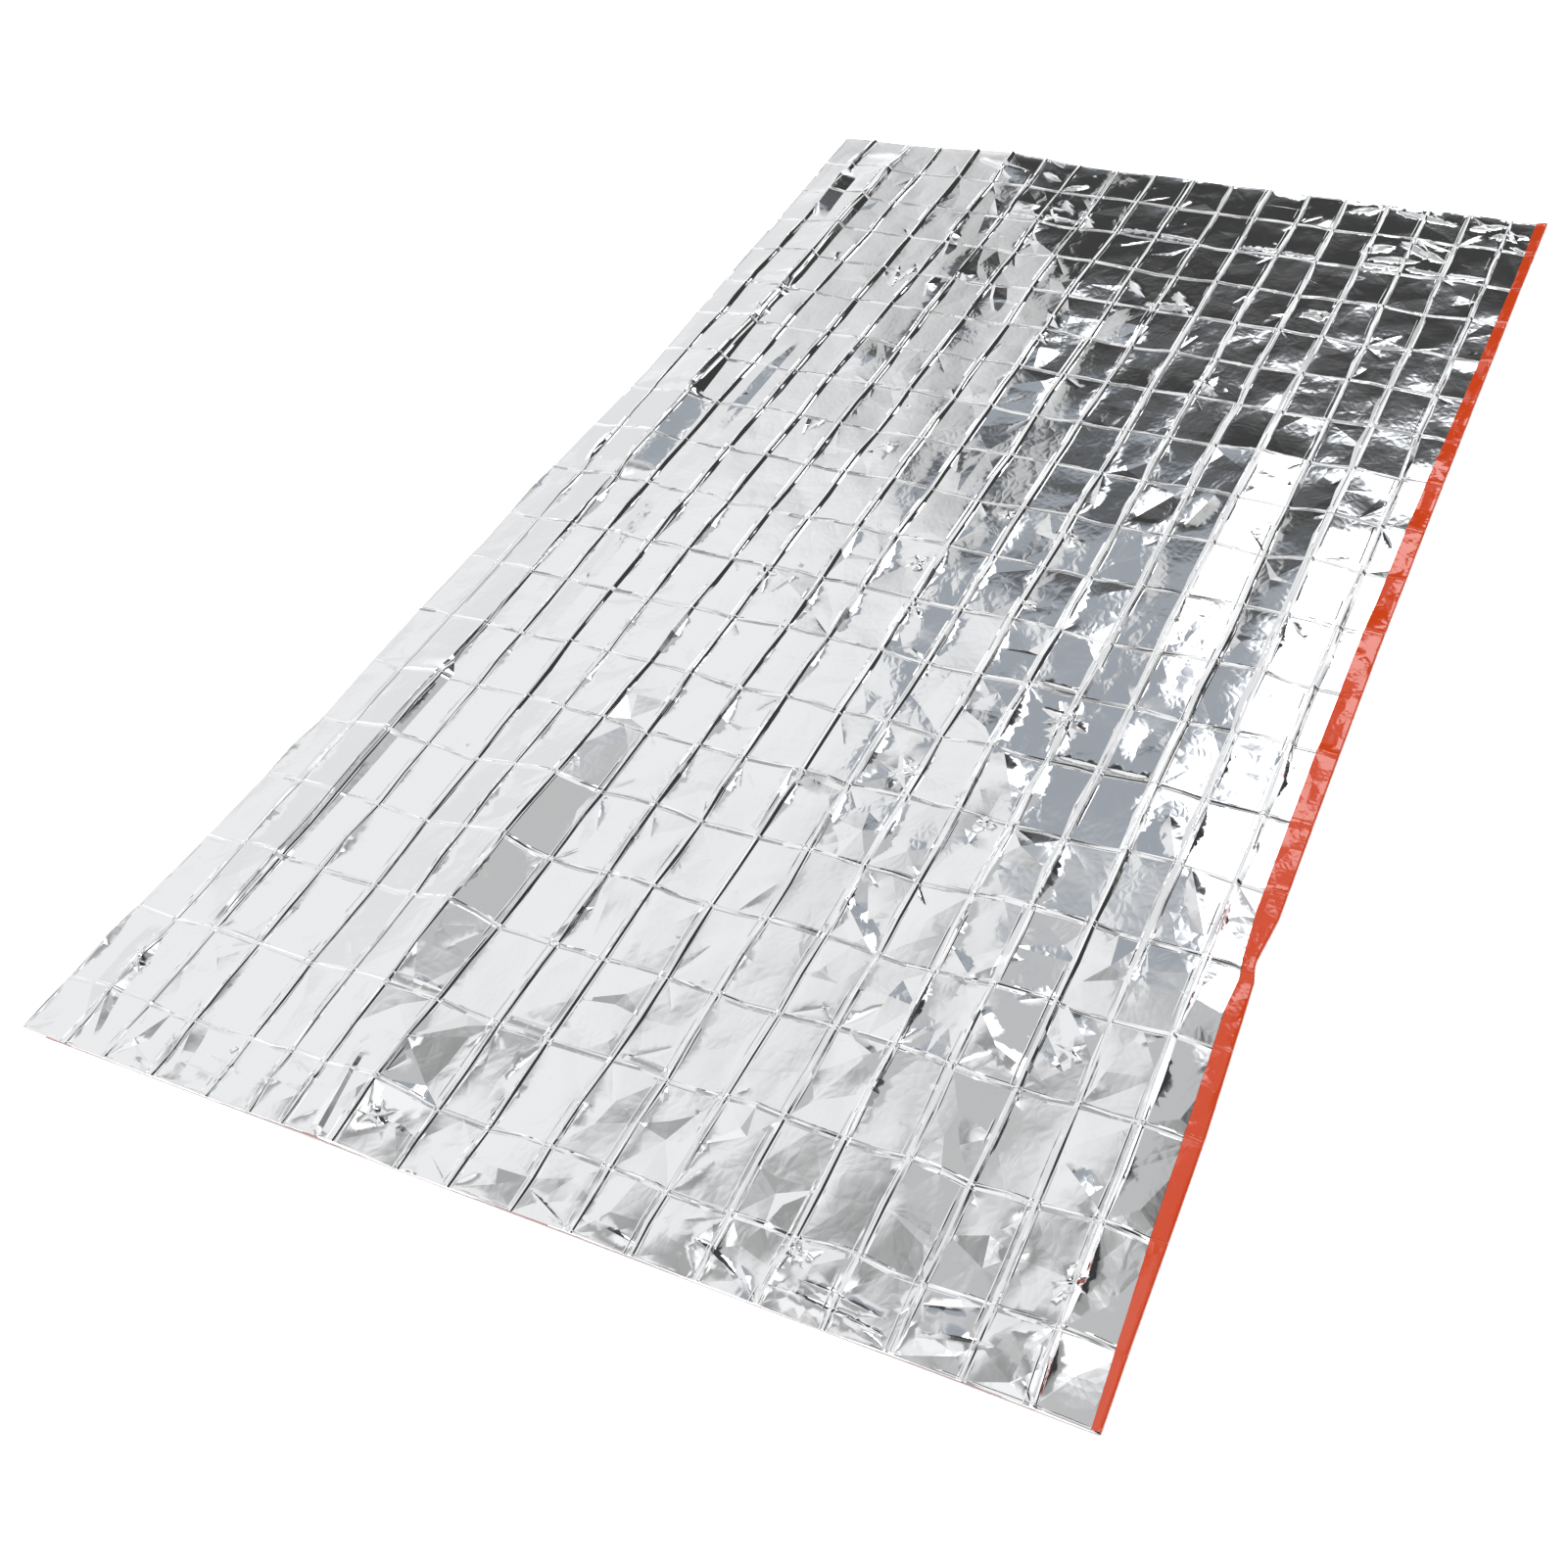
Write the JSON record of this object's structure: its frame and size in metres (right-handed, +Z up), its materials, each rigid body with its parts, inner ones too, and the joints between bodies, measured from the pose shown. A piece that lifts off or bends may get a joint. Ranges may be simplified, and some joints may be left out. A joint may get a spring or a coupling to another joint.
{
  "type": "emergency foil blanket",
  "caption": "Thin metallised film blanket laid open, silver side up, with a grid of packing creases and one long edge turned over onto the top.",
  "frame": {"origin": "middle of the floor face of the laid sheet", "axes": "+X across the sheet towards the turned edge, +Y along its length, +Z up from the floor"},
  "size_m": [1.157, 2.1, 0.0248],
  "materials": {
    "foil_film": "bright metallised film, silver on top and orange below"
  },
  "bodies": {
    "root": {"foil_blanket": "foil_film"}
  },
  "joints": []
}
